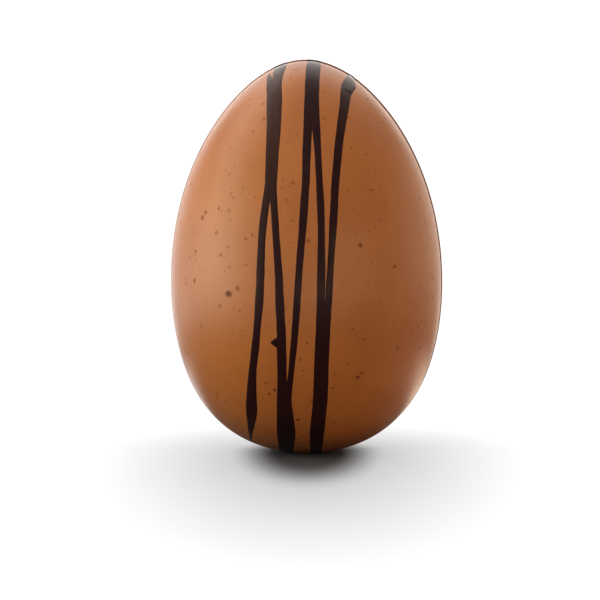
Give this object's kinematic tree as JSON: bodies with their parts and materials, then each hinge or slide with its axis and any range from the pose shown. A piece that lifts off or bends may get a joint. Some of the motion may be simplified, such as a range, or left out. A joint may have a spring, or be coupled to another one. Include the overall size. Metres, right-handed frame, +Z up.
{
  "type": "chocolate egg",
  "caption": "Upright moulded chocolate egg in caramel-coloured chocolate, with dark drizzled strands and small brown specks, joined on an upright seam, on a small flat foot.",
  "frame": {"origin": "under the middle of the egg, at the level of its flat foot", "axes": "+Z up the egg's long axis to its pointed end, +X to the right seen from the front, -Y out of the front half, the seam in the XZ plane"},
  "size_m": [0.1038, 0.1038, 0.1503],
  "materials": {
    "caramel_chocolate": "satin",
    "dark_chocolate": "satin"
  },
  "bodies": {
    "root": {"shell_front": "caramel_chocolate", "shell_back": "caramel_chocolate"}
  },
  "joints": []
}
